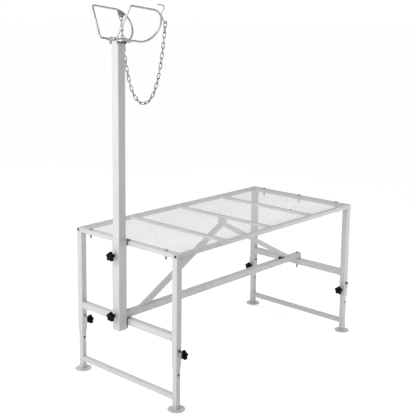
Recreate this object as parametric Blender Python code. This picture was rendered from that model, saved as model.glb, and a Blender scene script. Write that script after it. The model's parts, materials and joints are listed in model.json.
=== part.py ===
"""Grooming and trimming stand for sheep and goats, as separate solids.

Metres, +Z up.  +X runs from the head end of the deck to the tail end, the near side is -Y, and the
origin is on the floor under the middle of the whole stand.  The rest pose is the pose as modelled.
"""
import math

import bmesh
import bpy
from mathutils import Matrix, Vector

# ---------------------------------------------------------------- driving dimensions
GAP = 0.0003                 # clearance between neighbouring solids

DECK_LENGTH = 1.220
DECK_WIDTH = 0.610
DECK_TOP = 0.650
DECK_X = 0.031875            # deck centre: it puts the whole stand's middle over the origin

RAIL_SIZE = 0.019            # square side rails
RAIL_WALL = 0.003
END_RAIL_WIDTH = 0.030
MEMBER_SIZE = 0.014          # square cross members under the mesh
TUBE_WALL = 0.002
TUBE_CORNER = 0.0030         # outer corner radius of the square tubes
MESH_THICKNESS = 0.0025
MESH_SIDE_INSET = 0.014
MESH_END_INSET = 0.0255

LEG_SIZE = 0.029
LEG_END = 0.183              # lower end of the outer leg tubes
INNER_LEG_SIZE = 0.024
INNER_LEG_TOP = 0.420
FOOT_RADIUS = 0.036
FOOT_THICKNESS = 0.004
CROSSBAR_BOTTOM = 0.2875
FLOOR_BAR_SIZE = 0.021
FLOOR_BAR_BOTTOM = 0.041
GUSSET_LENGTH = 0.070
GUSSET_HEIGHT = 0.036
GUSSET_THICKNESS = 0.004

PIN_Z = 0.2514               # locking pins through the legs
PIN_RADIUS = 0.004
PIN_HOLE_RADIUS = 0.00408
PIN_COLLAR_RADIUS = 0.0065
PIN_COLLAR = 0.002
PIN_EYE_LENGTH = 0.0085
PIN_EYE_THICKNESS = 0.005
PIN_EYE_HEIGHT = 0.010
PIN_TAIL = 0.010             # how far a pin's tip stands out of the leg's inner face
HOLE_PITCH = 0.0508          # spacing of the height holes
LEG_TRAVEL_UP = HOLE_PITCH
LEG_TRAVEL_DOWN = 2 * HOLE_PITCH
RING_RADIUS = 0.011
RING_WIRE = 0.00125

KNOB_Z = 0.219               # clamping knobs on the legs
KNOB_RADIUS = 0.0205
KNOB_VALLEY = 0.0060         # depth of the hollows between the five lobes
KNOB_STANDOFF = 0.0200       # from the tube's face to the back of the star
KNOB_THICKNESS = 0.0170
STUD_RADIUS = 0.004
STUD_HOLE_RADIUS = 0.0042
WELD_NUT_WIDTH = 0.014       # across the flats
WELD_NUT_HEIGHT = 0.006

STRETCHER_SIZE = 0.029
STRETCHER_HEAD_END = -0.6125
STRETCHER_TAIL_END = 0.6065
BRACE_SIZE = 0.020
BRACE_FOOT = 0.522           # where a brace's outer face meets the stretcher
BRACE_TOP = 0.6225           # height at which the two outer faces would meet
BRACKET_SIZE = 0.029
BRACKET_BOTTOM = 0.6095

BOLT_RADIUS = 0.004
BOLT_HOLE_RADIUS = 0.0043
BOLT_HEAD_WIDTH = 0.013      # across the flats
BOLT_HEAD_HEIGHT = 0.005
BOLT_NUT_HEIGHT = 0.0065
RAIL_BOLT_Y = 0.2285
RAIL_BOLT_END = 0.612        # height of the tips of the bolts under the end rails
STRETCHER_BOLT_END = 0.267

POST_X = -0.6365             # post axis, from the deck centre
POST_SIZE = 0.0385
POST_BOTTOM = 0.285
SLEEVE_SIZE = 0.0435
SLEEVE_BOTTOM = 0.2735
SLEEVE_TOP = 0.6625
SLEEVE_KNOB_HEIGHTS = (0.340, 0.596)
HOOK_LIP = 0.004
UPPER_HOOK_REACH = 0.016
LOWER_HOOK_REACH = 0.0065

HEAD_PITCH = math.radians(7.3)      # the headpiece slopes down towards the tail
HEAD_Z = 1.4706              # height of the loops' bottom rods over the post axis
LOOP_LEAN = math.radians(26.8)
LOOP_OFFSET = 0.0484         # from the middle to a bottom rod
LOOP_ROD = 0.004             # rod radius
LOOP_FRONT = -0.0525
LOOP_REAR_CENTRE = 0.0690    # centre of the half-round rear
LOOP_HEIGHT = 0.1420
LOOP_CORNER = 0.010
TAB_HALF_LENGTH = 0.018
TAB_INNER = 0.004
TAB_HALF_THICKNESS = 0.0035
LOOP_BOLT_OFFSET = 0.033
LOOP_BOLT_SPACING = 0.017
LOOP_BOLT_HOLE = 0.0033
WEB_THICKNESS = 0.004
FLANGE_DEPTH = 0.013
FLANGE_THICKNESS = 0.003

CHAIN_TAB_HOLE = (0.092, 0.118)
CHAIN_HOLE_RADIUS = 0.004
CHAIN_TAB_THICKNESS = 0.003
HOOK_WIRE = 0.0025
CHAIN_END = (0.1505, 0.1030)  # where the chain hangs on the hook, in the loop's plane
CHAIN_LENGTH = 0.752
CHAIN_RADIUS = 0.006
CHAIN_POINTS = 30
CHAIN_END_ROOM = 0.021       # bare chain at each end, where its links pass the tab and the hook

STEEL_PAINT = (0.80, 0.81, 0.82)
DECK_PAINT = (0.84, 0.85, 0.86)
ZINC = (0.62, 0.63, 0.65)
WIRE_ZINC = (0.55, 0.56, 0.58)
BLACK_PLASTIC = (0.018, 0.018, 0.020)
BLACK_RUBBER = (0.045, 0.045, 0.048)

# ---------------------------------------------------------------- derived dimensions
RAIL_BOTTOM = DECK_TOP - RAIL_SIZE
CROSSBAR_TOP = CROSSBAR_BOTTOM + LEG_SIZE
LEG_X = (DECK_LENGTH - LEG_SIZE) / 2
LEG_Y = (DECK_WIDTH - LEG_SIZE) / 2
END_RAIL_X = (DECK_LENGTH - END_RAIL_WIDTH) / 2
STRETCHER_BOTTOM = CROSSBAR_TOP + GAP
STRETCHER_TOP = STRETCHER_BOTTOM + STRETCHER_SIZE
CORNERS = {"head_near": (-1, -1), "head_far": (-1, 1), "tail_near": (1, -1), "tail_far": (1, 1)}
ENDS = {"head": -1, "tail": 1}


# ---------------------------------------------------------------- outlines
def circle(radius, sides):
    return [(radius * math.cos(2 * math.pi * i / sides), radius * math.sin(2 * math.pi * i / sides))
            for i in range(sides)]


def hexagon(flats, sides):
    """A hexagon's outline with as many points as a circle of that many sides."""
    outline = []
    for i in range(sides):
        angle = 2 * math.pi * i / sides
        from_flat = (angle + math.pi / 6) % (math.pi / 3) - math.pi / 6
        radius = flats / 2 / math.cos(from_flat)
        outline.append((radius * math.cos(angle), radius * math.sin(angle)))
    return outline


def star(radius, valley, sides):
    """The five-lobed grip of a knob, one lobe pointing along the second axis."""
    outline = []
    for i in range(sides):
        angle = 2 * math.pi * i / sides
        lobe = 0.5 + 0.5 * math.cos(5 * (angle - math.pi / 2))
        r = radius - valley * (1 - lobe ** 0.8)
        outline.append((r * math.cos(angle), r * math.sin(angle)))
    return outline


def rounded_rectangle(width, height, radius, steps=3):
    outline = []
    for quarter, (sx, sy) in enumerate(((1, 1), (-1, 1), (-1, -1), (1, -1))):
        centre = (sx * (width / 2 - radius), sy * (height / 2 - radius))
        for i in range(steps + 1):
            angle = math.pi / 2 * (quarter + i / steps)
            outline.append((centre[0] + radius * math.cos(angle), centre[1] + radius * math.sin(angle)))
    return outline


def rectangle(width, height):
    x, y = width / 2, height / 2
    return [(x, y), (-x, y), (-x, -y), (x, -y)]


def stadium(width, low, high, steps=6):
    """An upright slot: half-round ends of the given width, centres at low and high."""
    top = [(width / 2 * math.cos(math.pi * i / steps), high + width / 2 * math.sin(math.pi * i / steps))
           for i in range(steps + 1)]
    bottom = [(-x, low - (z - high)) for x, z in top]
    return top + bottom


# ---------------------------------------------------------------- mesh builders
def along(axis, u, v, w):
    """A point with w along the axis and (u, v) across it, v upwards on the level axes."""
    return {"X": (w, u, v), "Y": (u, w, v), "Z": (u, v, w)}[axis]


def finish(name, bm, location, paint, roughness=0.45, metallic=0.0, parent=None):
    bmesh.ops.recalc_face_normals(bm, faces=bm.faces)
    mesh = bpy.data.meshes.new(name)
    bm.to_mesh(mesh)
    bm.free()
    mesh.shade_smooth()
    mesh.set_sharp_from_angle(angle=math.radians(32))
    ob = bpy.data.objects.new(name, mesh)
    bpy.context.scene.collection.objects.link(ob)
    ob.location = location
    if parent is not None:
        ob.parent = parent
    ob.data.materials.append(material(name, paint, roughness, metallic))
    return ob


def material(name, colour, roughness, metallic):
    mat = bpy.data.materials.new(name)
    mat.use_nodes = True
    shader = mat.node_tree.nodes["Principled BSDF"]
    shader.inputs["Base Color"].default_value = (*colour, 1.0)
    shader.inputs["Roughness"].default_value = roughness
    shader.inputs["Metallic"].default_value = metallic
    mat.diffuse_color = (*colour, 1.0)
    return mat


def loft(bm, sections, axis):
    """Join equal outlines (w, [(u, v), ...]) along an axis and close both ends."""
    rings = [[bm.verts.new(along(axis, u, v, w)) for u, v in outline] for w, outline in sections]
    for lower, upper in zip(rings, rings[1:]):
        for i in range(len(lower)):
            j = (i + 1) % len(lower)
            bm.faces.new((lower[i], lower[j], upper[j], upper[i]))
    bm.faces.new(rings[0])
    bm.faces.new(rings[-1])


def solid(name, axis, sections, location, paint, **looks):
    bm = bmesh.new()
    loft(bm, sections, axis)
    return finish(name, bm, location, paint, **looks)


def tube(name, axis, width, height, wall, length, location, paint=STEEL_PAINT, **looks):
    """An open-ended rectangular tube centred on its location."""
    bm = bmesh.new()
    outer = rounded_rectangle(width, height, TUBE_CORNER)
    inner = rounded_rectangle(width - 2 * wall, height - 2 * wall, TUBE_CORNER - wall * 0.6)
    rings = []
    for outline in (outer, inner):
        rings.append([[bm.verts.new(along(axis, u, v, w)) for u, v in outline] for w in (-length / 2, length / 2)])
    (outer_low, outer_high), (inner_low, inner_high) = rings
    for i in range(len(outer)):
        j = (i + 1) % len(outer)
        bm.faces.new((outer_low[i], outer_low[j], outer_high[j], outer_high[i]))
        bm.faces.new((inner_low[i], inner_low[j], inner_high[j], inner_high[i]))
        bm.faces.new((outer_low[i], outer_low[j], inner_low[j], inner_low[i]))
        bm.faces.new((outer_high[i], outer_high[j], inner_high[j], inner_high[i]))
    return finish(name, bm, location, paint, **looks)


def planar_sweep(bm, path, normal, radius, sides, closed):
    """Sweep a round wire along a path that lies in one plane."""
    normal = Vector(normal).normalized()
    points = [Vector(p) for p in path]
    rings = []
    for i, point in enumerate(points):
        before = points[i - 1] if closed or i > 0 else point
        after = points[(i + 1) % len(points)] if closed or i + 1 < len(points) else point
        side = (after - before).normalized().cross(normal)
        ring = []
        for u, v in circle(radius, sides):
            ring.append(bm.verts.new(point + side * u + normal * v))
        rings.append(ring)
    pairs = list(zip(rings, rings[1:]))
    if closed:
        pairs.append((rings[-1], rings[0]))
    else:
        bm.faces.new(rings[0])
        bm.faces.new(rings[-1])
    for first, second in pairs:
        for k in range(sides):
            m = (k + 1) % sides
            bm.faces.new((first[k], first[m], second[m], second[k]))


def helper(name, axis, sections, location, parent=None):
    """A closed shape for a Boolean: it is not a piece of the stand."""
    ob = solid(name, axis, sections, location, ZINC, parent=parent)
    ob.hide_render = True
    ob.display_type = "WIRE"
    return ob


def boolean(target, other, operation="DIFFERENCE"):
    modifier = target.modifiers.new(other.name, "BOOLEAN")
    modifier.operation = operation
    modifier.solver = "EXACT"
    modifier.object = other


def drill(target, axis, radius, depth, location, sides=12, parent=None):
    outline = circle(radius, sides)
    name = f"drill_{target.name}_{len(target.modifiers)}"
    boolean(target, helper(name, axis, [(-depth / 2, outline), (depth / 2, outline)], location, parent))


# ---------------------------------------------------------------- the pieces
def place(x, y, z):
    """A point given from the deck centre."""
    return DECK_X + x, y, z


def build_deck():
    for side, sign in (("near", -1), ("far", 1)):
        tube(f"side_rail_{side}", "X", RAIL_SIZE, RAIL_SIZE, RAIL_WALL, DECK_LENGTH,
             place(0, sign * (DECK_WIDTH - RAIL_SIZE) / 2, DECK_TOP - RAIL_SIZE / 2))
    inner_width = DECK_WIDTH - 2 * RAIL_SIZE - 2 * GAP
    for end, sign in ENDS.items():
        tube(f"end_rail_{end}", "Y", END_RAIL_WIDTH, RAIL_SIZE, TUBE_WALL, inner_width,
             place(sign * END_RAIL_X, 0, DECK_TOP - RAIL_SIZE / 2))
    for name, share in (("head", -0.25), ("middle", 0.0), ("tail", 0.25)):
        tube(f"cross_member_{name}", "Y", MEMBER_SIZE, MEMBER_SIZE, TUBE_WALL, inner_width,
             place(share * DECK_LENGTH, 0, DECK_TOP - MEMBER_SIZE / 2))
    sheet = rectangle(DECK_LENGTH - 2 * MESH_END_INSET, DECK_WIDTH - 2 * MESH_SIDE_INSET)
    solid("deck_mesh", "Z", [(0, sheet), (MESH_THICKNESS, sheet)], place(0, 0, DECK_TOP + GAP), DECK_PAINT)


def build_upper_frames():
    height = RAIL_BOTTOM - GAP - LEG_END
    nut = hexagon(WELD_NUT_WIDTH, 12)
    for corner, (sx, sy) in CORNERS.items():
        x, y = sx * LEG_X, sy * LEG_Y
        leg = tube(f"outer_leg_{corner}", "Z", LEG_SIZE, LEG_SIZE, TUBE_WALL, height,
                   place(x, y, LEG_END + height / 2))
        face = x - sx * LEG_SIZE / 2
        nut_ends = [(-sx * -0.001, nut), (-sx * WELD_NUT_HEIGHT, nut)]
        boolean(leg, helper(f"weld_nut_{corner}", "X", nut_ends, place(face, y, KNOB_Z)), "UNION")
        drill(leg, "X", STUD_HOLE_RADIUS, 0.024, place(face, y, KNOB_Z))
        drill(leg, "Y", PIN_HOLE_RADIUS, LEG_SIZE * 2, place(x, y, PIN_Z))
    between = 2 * LEG_Y - LEG_SIZE - 2 * GAP
    for end, sign in ENDS.items():
        tube(f"crossbar_{end}", "Y", LEG_SIZE, LEG_SIZE, TUBE_WALL, between,
             place(sign * LEG_X, 0, CROSSBAR_BOTTOM + LEG_SIZE / 2))
    triangle = [(0, 0), (GUSSET_LENGTH, 0), (0, -GUSSET_HEIGHT)]
    solid("corner_gusset", "Y", [(0, triangle), (GUSSET_THICKNESS, triangle)],
          place(-LEG_X + LEG_SIZE / 2 + GAP, -DECK_WIDTH / 2, RAIL_BOTTOM - GAP), STEEL_PAINT)


def build_lower_frames():
    leg_bottom = FOOT_THICKNESS + GAP
    height = INNER_LEG_TOP - leg_bottom
    middle = leg_bottom + height / 2
    slot = stadium(2 * PIN_HOLE_RADIUS, PIN_Z - LEG_TRAVEL_UP - middle, PIN_Z + LEG_TRAVEL_DOWN - middle)
    disc = circle(FOOT_RADIUS, 32)
    for corner, (sx, sy) in CORNERS.items():
        x, y = sx * LEG_X, sy * LEG_Y
        leg = tube(f"inner_leg_{corner}", "Z", INNER_LEG_SIZE, INNER_LEG_SIZE, TUBE_WALL, height,
                   place(x, y, middle))
        cut = [(-INNER_LEG_SIZE, slot), (INNER_LEG_SIZE, slot)]
        boolean(leg, helper(f"slot_{corner}", "Y", cut, place(x, y, middle)))
        drill(leg, "Y", PIN_HOLE_RADIUS, INNER_LEG_SIZE * 2, place(x, y, PIN_Z - 2 * HOLE_PITCH))
        solid(f"foot_disc_{corner}", "Z", [(0, disc), (FOOT_THICKNESS, disc)], place(x, y, 0), STEEL_PAINT)
    between = 2 * LEG_Y - INNER_LEG_SIZE - 2 * GAP
    for end, sign in ENDS.items():
        tube(f"floor_bar_{end}", "Y", FLOOR_BAR_SIZE, FLOOR_BAR_SIZE, TUBE_WALL, between,
             place(sign * LEG_X, 0, FLOOR_BAR_BOTTOM + FLOOR_BAR_SIZE / 2))


def build_stretcher():
    length = STRETCHER_TAIL_END - STRETCHER_HEAD_END
    tube("stretcher", "X", STRETCHER_SIZE, STRETCHER_SIZE, TUBE_WALL, length,
         place((STRETCHER_TAIL_END + STRETCHER_HEAD_END) / 2, 0, STRETCHER_BOTTOM + STRETCHER_SIZE / 2))
    slope = (BRACE_TOP - STRETCHER_TOP) / BRACE_FOOT
    drop = BRACE_SIZE * math.sqrt(1 + slope * slope)        # upright thickness of the sloping tube
    foot = STRETCHER_TOP + GAP
    head_x = GAP / 2
    outer_x = (BRACE_TOP - foot) / slope
    outline = [(outer_x, foot), (head_x, BRACE_TOP - slope * head_x), (head_x, BRACE_TOP - slope * head_x - drop)]
    for end, sign in ENDS.items():
        brace(f"brace_{end}", [(sign * x, z) for x, z in outline])
    build_bracket(slope)


def build_bracket(slope):
    """The saddle between the middle cross member and the braces' heads, with a cheek on each side of them."""
    block = rectangle(BRACKET_SIZE, BRACKET_SIZE)
    bracket = solid("brace_bracket", "Z", [(BRACKET_BOTTOM, block), (DECK_TOP - MEMBER_SIZE - GAP, block)],
                    place(0, 0, 0), STEEL_PAINT)
    reach, half = BRACKET_SIZE, BRACE_SIZE / 2 + GAP
    ridge = BRACE_TOP + 2 * GAP
    seat = [(-reach, BRACE_TOP - BRACE_SIZE * 2), (reach, BRACE_TOP - BRACE_SIZE * 2),
            (reach, ridge - slope * reach), (0, ridge), (-reach, ridge - slope * reach)]
    boolean(bracket, helper("brace_seat", "Y", [(-half, seat), (half, seat)], place(0, 0, 0)))


def brace(name, outline):
    """A sloping square tube with a level cut at the foot and an upright one at the head.

    The outline gives its outer face's foot and head, and its under face's head.
    """
    bm = bmesh.new()
    low_foot, low_head, under_head = [Vector((x, 0, z)) for x, z in outline]
    rise = (low_head - low_foot).normalized()
    across = Vector((-rise.z, 0, rise.x))
    if across.dot(under_head - low_head) < 0:
        across = -across
    rings = []
    for inset in (0.0, TUBE_WALL):
        foot_ring, head_ring = [], []
        half = BRACE_SIZE / 2 - inset
        for depth, y in ((inset, -half), (inset, half), (BRACE_SIZE - inset, half), (BRACE_SIZE - inset, -half)):
            line = low_foot + across * depth
            to_foot = (low_foot.z - line.z) / rise.z
            to_head = (low_head.x - line.x) / rise.x
            foot_ring.append(bm.verts.new(line + rise * to_foot + Vector((0, y, 0))))
            head_ring.append(bm.verts.new(line + rise * to_head + Vector((0, y, 0))))
        rings.append((foot_ring, head_ring))
    (outer_foot, outer_head), (inner_foot, inner_head) = rings
    for i in range(4):
        j = (i + 1) % 4
        bm.faces.new((outer_foot[i], outer_foot[j], outer_head[j], outer_head[i]))
        bm.faces.new((inner_foot[i], inner_foot[j], inner_head[j], inner_head[i]))
        bm.faces.new((outer_foot[i], outer_foot[j], inner_foot[j], inner_foot[i]))
        bm.faces.new((outer_head[i], outer_head[j], inner_head[j], inner_head[i]))
    return finish(name, bm, place(0, 0, 0), STEEL_PAINT)


def bolt(name, x, y, top, bottom, nut_top):
    """An upright bolt: head above top, shank down to bottom, nut just below nut_top."""
    sides = 12
    head, shank = hexagon(BOLT_HEAD_WIDTH, sides), circle(BOLT_RADIUS, sides)
    nut_bottom = nut_top - BOLT_NUT_HEIGHT
    sections = [(bottom, shank), (nut_bottom, shank), (nut_bottom, head), (nut_top, head), (nut_top, shank),
                (top, shank), (top, head), (top + BOLT_HEAD_HEIGHT, head)]
    return solid(name, "Z", sections, place(x, y, 0), ZINC, roughness=0.35, metallic=1.0)


def build_bolts():
    for end, sign in ENDS.items():
        rail = bpy.data.objects[f"end_rail_{end}"]
        rows = {"near": -RAIL_BOLT_Y, "far": RAIL_BOLT_Y}
        if end == "tail":
            rows["middle"] = 0.0
        for row, y in rows.items():
            x = sign * END_RAIL_X
            bolt(f"rail_bolt_{end}_{row}", x, y, DECK_TOP + GAP, RAIL_BOLT_END, RAIL_BOTTOM - GAP)
            drill(rail, "Z", BOLT_HOLE_RADIUS, RAIL_SIZE * 2, place(x, y, DECK_TOP - RAIL_SIZE / 2))
        x = sign * LEG_X
        bolt(f"stretcher_bolt_{end}", x, 0, STRETCHER_TOP + GAP, STRETCHER_BOLT_END, CROSSBAR_BOTTOM - GAP)
        for target, z in (("stretcher", STRETCHER_TOP), (f"crossbar_{end}", CROSSBAR_BOTTOM + LEG_SIZE / 2)):
            drill(bpy.data.objects[target], "Z", BOLT_HOLE_RADIUS, 0.08, place(x, 0, z))


def build_sleeve():
    length = SLEEVE_TOP - SLEEVE_BOTTOM
    sleeve = tube("post_sleeve", "Z", SLEEVE_SIZE, SLEEVE_SIZE, TUBE_WALL, length,
                  place(POST_X, 0, SLEEVE_BOTTOM + length / 2))
    nut = hexagon(WELD_NUT_WIDTH, 12)
    face = POST_X - SLEEVE_SIZE / 2
    for i, z in enumerate(SLEEVE_KNOB_HEIGHTS):
        nut_ends = [(0.001, nut), (-WELD_NUT_HEIGHT, nut)]
        boolean(sleeve, helper(f"sleeve_weld_nut_{i}", "X", nut_ends, place(face, 0, z)), "UNION")
        drill(sleeve, "X", STUD_HOLE_RADIUS, 0.024, place(face, 0, z))
    back = POST_X + SLEEVE_SIZE / 2 + GAP
    hooks = {"upper": (RAIL_BOTTOM, DECK_TOP, UPPER_HOOK_REACH),
             "lower": (CROSSBAR_BOTTOM, CROSSBAR_TOP, LOWER_HOOK_REACH)}
    for name, (low, high, reach) in hooks.items():
        front = -DECK_LENGTH / 2 - GAP
        lip = high + GAP
        outline = [(back, low), (front, low), (front, lip), (front + reach, lip),
                   (front + reach, lip + HOOK_LIP), (back, lip + HOOK_LIP)]
        half = SLEEVE_SIZE / 2
        solid(f"sleeve_hook_{name}", "Y", [(-half, outline), (half, outline)], place(0, 0, 0),
              BLACK_RUBBER, roughness=0.7)
    make_way_for_stretcher(bpy.data.objects["sleeve_hook_lower"])


def make_way_for_stretcher(hook):
    """Leave an arm of the hook on each side of the stretcher, whose end comes up to the sleeve."""
    half = STRETCHER_SIZE / 2 + GAP
    gap_outline = [(STRETCHER_HEAD_END - 0.01, -half), (STRETCHER_HEAD_END + 0.02, -half),
                   (STRETCHER_HEAD_END + 0.02, half), (STRETCHER_HEAD_END - 0.01, half)]
    gap_ends = [(CROSSBAR_TOP, gap_outline), (CROSSBAR_TOP + 2 * HOOK_LIP, gap_outline)]
    boolean(hook, helper("hook_way", "Z", gap_ends, place(0, 0, 0)))


def build_knob(name, face, y, z, direction):
    """A star knob whose stud goes through the tube wall; direction points out of the tube."""
    sides = 40
    tip = -TUBE_WALL - GAP
    back, front = KNOB_STANDOFF, KNOB_STANDOFF + KNOB_THICKNESS
    profile = [(tip, circle(STUD_RADIUS, sides)), (0.0085, circle(STUD_RADIUS, sides)),
               (0.0085, circle(0.0075, sides)), (back, circle(0.0090, sides)),
               (back, star(KNOB_RADIUS - 0.0015, KNOB_VALLEY, sides)),
               (back + 0.002, star(KNOB_RADIUS, KNOB_VALLEY, sides)),
               (front - 0.004, star(KNOB_RADIUS, KNOB_VALLEY, sides)),
               (front - 0.001, star(KNOB_RADIUS - 0.0030, KNOB_VALLEY - 0.001, sides)),
               (front, star(KNOB_RADIUS - 0.0060, KNOB_VALLEY - 0.002, sides))]
    sections = [(direction * w, outline) for w, outline in profile]
    return solid(name, "X", sections, place(face, y, z), BLACK_PLASTIC, roughness=0.5)


def build_knobs():
    for corner, (sx, sy) in CORNERS.items():
        build_knob(f"leg_knob_{corner}", sx * (LEG_X - LEG_SIZE / 2), sy * LEG_Y, KNOB_Z, -sx)
    for name, z in zip(("lower", "upper"), SLEEVE_KNOB_HEIGHTS):
        build_knob(f"post_knob_{name}", POST_X - SLEEVE_SIZE / 2, 0, z, -1)


def build_pins():
    sides = 12
    shaft, collar = circle(PIN_RADIUS, sides), circle(PIN_COLLAR_RADIUS, sides)
    eye = rounded_rectangle(PIN_EYE_THICKNESS, PIN_EYE_HEIGHT, 0.0015, steps=2)
    for corner, (sx, sy) in CORNERS.items():
        x, outer = sx * LEG_X, sy * DECK_WIDTH / 2
        tip = -(LEG_SIZE + PIN_TAIL)
        profile = [(tip, circle(PIN_RADIUS * 0.6, sides)), (tip + 0.002, shaft), (GAP, shaft), (GAP, collar),
                   (GAP + PIN_COLLAR, collar), (GAP + PIN_COLLAR, eye), (GAP + PIN_COLLAR + PIN_EYE_LENGTH, eye)]
        pin = solid(f"leg_pin_{corner}", "Y", [(sy * w, outline) for w, outline in profile],
                    place(x, outer, PIN_Z), ZINC, roughness=0.3, metallic=1.0)
        eye_y = outer + sy * (GAP + PIN_COLLAR + PIN_EYE_LENGTH / 2)
        drill(pin, "X", RING_WIRE + 0.0011, 0.02, place(x, eye_y, PIN_Z), sides=10)
        bm = bmesh.new()
        ring = [(r, 0, z - RING_RADIUS) for r, z in circle(RING_RADIUS, 28)]
        planar_sweep(bm, ring, (0, 1, 0), RING_WIRE, 8, True)
        finish(f"pin_ring_{corner}", bm, place(x, eye_y, PIN_Z), ZINC, roughness=0.25, metallic=1.0)


def build_post():
    top = HEAD_Z - (TAB_HALF_THICKNESS + 2 * GAP + WEB_THICKNESS) / math.cos(HEAD_PITCH)
    length = top - POST_BOTTOM
    post = tube("head_post", "Z", POST_SIZE, POST_SIZE, TUBE_WALL, length,
                place(POST_X, 0, POST_BOTTOM + length / 2))
    for vertex in post.data.vertices:
        if vertex.co.z > 0:
            vertex.co.z -= vertex.co.x * math.tan(HEAD_PITCH)


def arc(centre, radius, start, end, steps):
    angles = [math.radians(start + (end - start) * i / steps) for i in range(steps + 1)]
    return [(centre[0] + radius * math.cos(a), centre[1] + radius * math.sin(a)) for a in angles]


def loop_outline():
    """The closed D of a loop, (along the deck, up the loop), front side first."""
    r = LOOP_CORNER
    half = LOOP_HEIGHT / 2
    points = arc((LOOP_REAR_CENTRE, half), half, -90, 90, 20)
    points += arc((LOOP_FRONT + r, LOOP_HEIGHT - r), r, 90, 180, 4)
    points += arc((LOOP_FRONT + r, r), r, 180, 270, 4)
    return points


def on_loop(side, along_deck, up, out=0.0):
    """A point in the plane of a loop, in the headpiece's own axes; out is off the plane, outwards."""
    y = LOOP_OFFSET + up * math.sin(LOOP_LEAN) + out * math.cos(LOOP_LEAN)
    z = up * math.cos(LOOP_LEAN) - out * math.sin(LOOP_LEAN)
    return Vector((along_deck, side * y, z))


def loop_normal(side):
    return Vector((0, side * math.cos(LOOP_LEAN), -math.sin(LOOP_LEAN)))


def smooth_path(points, steps):
    """Catmull-Rom points through a list of points."""
    padded = [points[0]] + list(points) + [points[-1]]
    path = []
    for a, b, c, d in zip(padded, padded[1:], padded[2:], padded[3:]):
        for i in range(steps):
            t = i / steps
            path.append(0.5 * (2 * b + (c - a) * t + (2 * a - 5 * b + 4 * c - d) * t ** 2
                               + (3 * b - a - 3 * c + d) * t ** 3))
    return path + [points[-1]]


def build_headpiece():
    frame = bpy.data.objects.new("headpiece_axes", None)
    bpy.context.scene.collection.objects.link(frame)
    frame.location = place(POST_X, 0, HEAD_Z)
    frame.rotation_euler = (0, HEAD_PITCH, 0)
    zinc = {"roughness": 0.35, "metallic": 1.0, "parent": frame}

    web_top = -TAB_HALF_THICKNESS - GAP
    web_bottom = web_top - WEB_THICKNESS
    front, waist, rear = 0.0215, 0.044, 0.020
    half_web = [(-0.024, front), (-0.019, waist), (0.022, waist), (0.030, rear), (0.054, rear)]
    web = half_web + [(x, -y) for x, y in reversed(half_web)]
    plate = solid("head_plate", "Z", [(web_bottom, web), (web_top, web)], (0, 0, 0), WIRE_ZINC, **zinc)
    inner = POST_SIZE / 2 + GAP
    for side in (-1, 1):
        outline = [(-0.024, side * inner), (0.020, side * inner),
                   (0.020, side * (inner + FLANGE_THICKNESS)), (-0.024, side * (inner + FLANGE_THICKNESS))]
        ends = [(web_bottom - FLANGE_DEPTH, outline), (web_bottom + 0.001, outline)]
        flange = helper(f"plate_flange_{side}", "Z", ends, (0, 0, 0), parent=frame)
        boolean(plate, flange, "UNION")

    for name, side in (("left", 1), ("right", -1)):
        bm = bmesh.new()
        planar_sweep(bm, [on_loop(side, s, t) for s, t in loop_outline()], loop_normal(side), LOOP_ROD, 10, True)
        loop = finish(f"nose_loop_{name}", bm, (0, 0, 0), WIRE_ZINC, **zinc)
        tab = [(-TAB_HALF_LENGTH, side * TAB_INNER), (TAB_HALF_LENGTH, side * TAB_INNER),
               (TAB_HALF_LENGTH, side * LOOP_OFFSET), (-TAB_HALF_LENGTH, side * LOOP_OFFSET)]
        ends = [(-TAB_HALF_THICKNESS, tab), (TAB_HALF_THICKNESS, tab)]
        boolean(loop, helper(f"loop_tab_{name}", "Z", ends, (0, 0, 0), parent=frame), "UNION")
        for offset in (-LOOP_BOLT_SPACING / 2, LOOP_BOLT_SPACING / 2):
            where = (offset, side * LOOP_BOLT_OFFSET, 0)
            drill(loop, "Z", LOOP_BOLT_HOLE, 0.03, where, parent=frame)
            drill(plate, "Z", LOOP_BOLT_HOLE, 0.03, where, parent=frame)
    build_chain_tab(frame, zinc)
    build_chain_hook(zinc)


def build_chain_tab(frame, zinc):
    """The drilled plate inside the left loop's upper rear bend."""
    reach = LOOP_HEIGHT / 2 - LOOP_ROD - GAP
    outline = arc((LOOP_REAR_CENTRE, LOOP_HEIGHT / 2), reach, 50, 82, 6) + [(0.079, 0.113), (0.099, 0.104)]
    bm = bmesh.new()
    faces = [[bm.verts.new(on_loop(1, s, t, out)) for s, t in outline]
             for out in (-CHAIN_TAB_THICKNESS / 2, CHAIN_TAB_THICKNESS / 2)]
    for i in range(len(outline)):
        j = (i + 1) % len(outline)
        bm.faces.new((faces[0][i], faces[0][j], faces[1][j], faces[1][i]))
    bm.faces.new(faces[0])
    bm.faces.new(faces[1])
    tab = finish("chain_tab", bm, (0, 0, 0), WIRE_ZINC, **zinc)
    round_hole = circle(CHAIN_HOLE_RADIUS, 14)
    hole_ends = [(-0.01, round_hole), (0.01, round_hole)]
    hole = helper("drill_chain_tab", "Z", hole_ends, on_loop(1, *CHAIN_TAB_HOLE), parent=frame)
    hole.rotation_euler = loop_normal(1).to_track_quat("Z", "Y").to_euler()
    boolean(tab, hole)


def build_chain_hook(zinc):
    """The bent wire on the outside of the right loop: an open hook above, the chain's hook below."""
    route = [(0.067, 0.1690), (0.081, 0.1697), (0.095, 0.1692), (0.106, 0.1655), (0.1115, 0.1580),
             (0.1110, 0.1490), (0.1090, 0.1390), (0.1130, 0.1300), (0.1210, 0.1220), (0.1310, 0.1130),
             (0.1405, 0.1045), (0.1470, 0.0985), (0.1540, 0.0975), (0.1580, 0.1035)]
    out = LOOP_ROD + HOOK_WIRE + GAP
    path = smooth_path([on_loop(-1, s, t, out) for s, t in route], 2)
    bm = bmesh.new()
    planar_sweep(bm, path, loop_normal(-1), HOOK_WIRE, 8, False)
    finish("chain_hook", bm, (0, 0, 0), WIRE_ZINC, **zinc)


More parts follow.
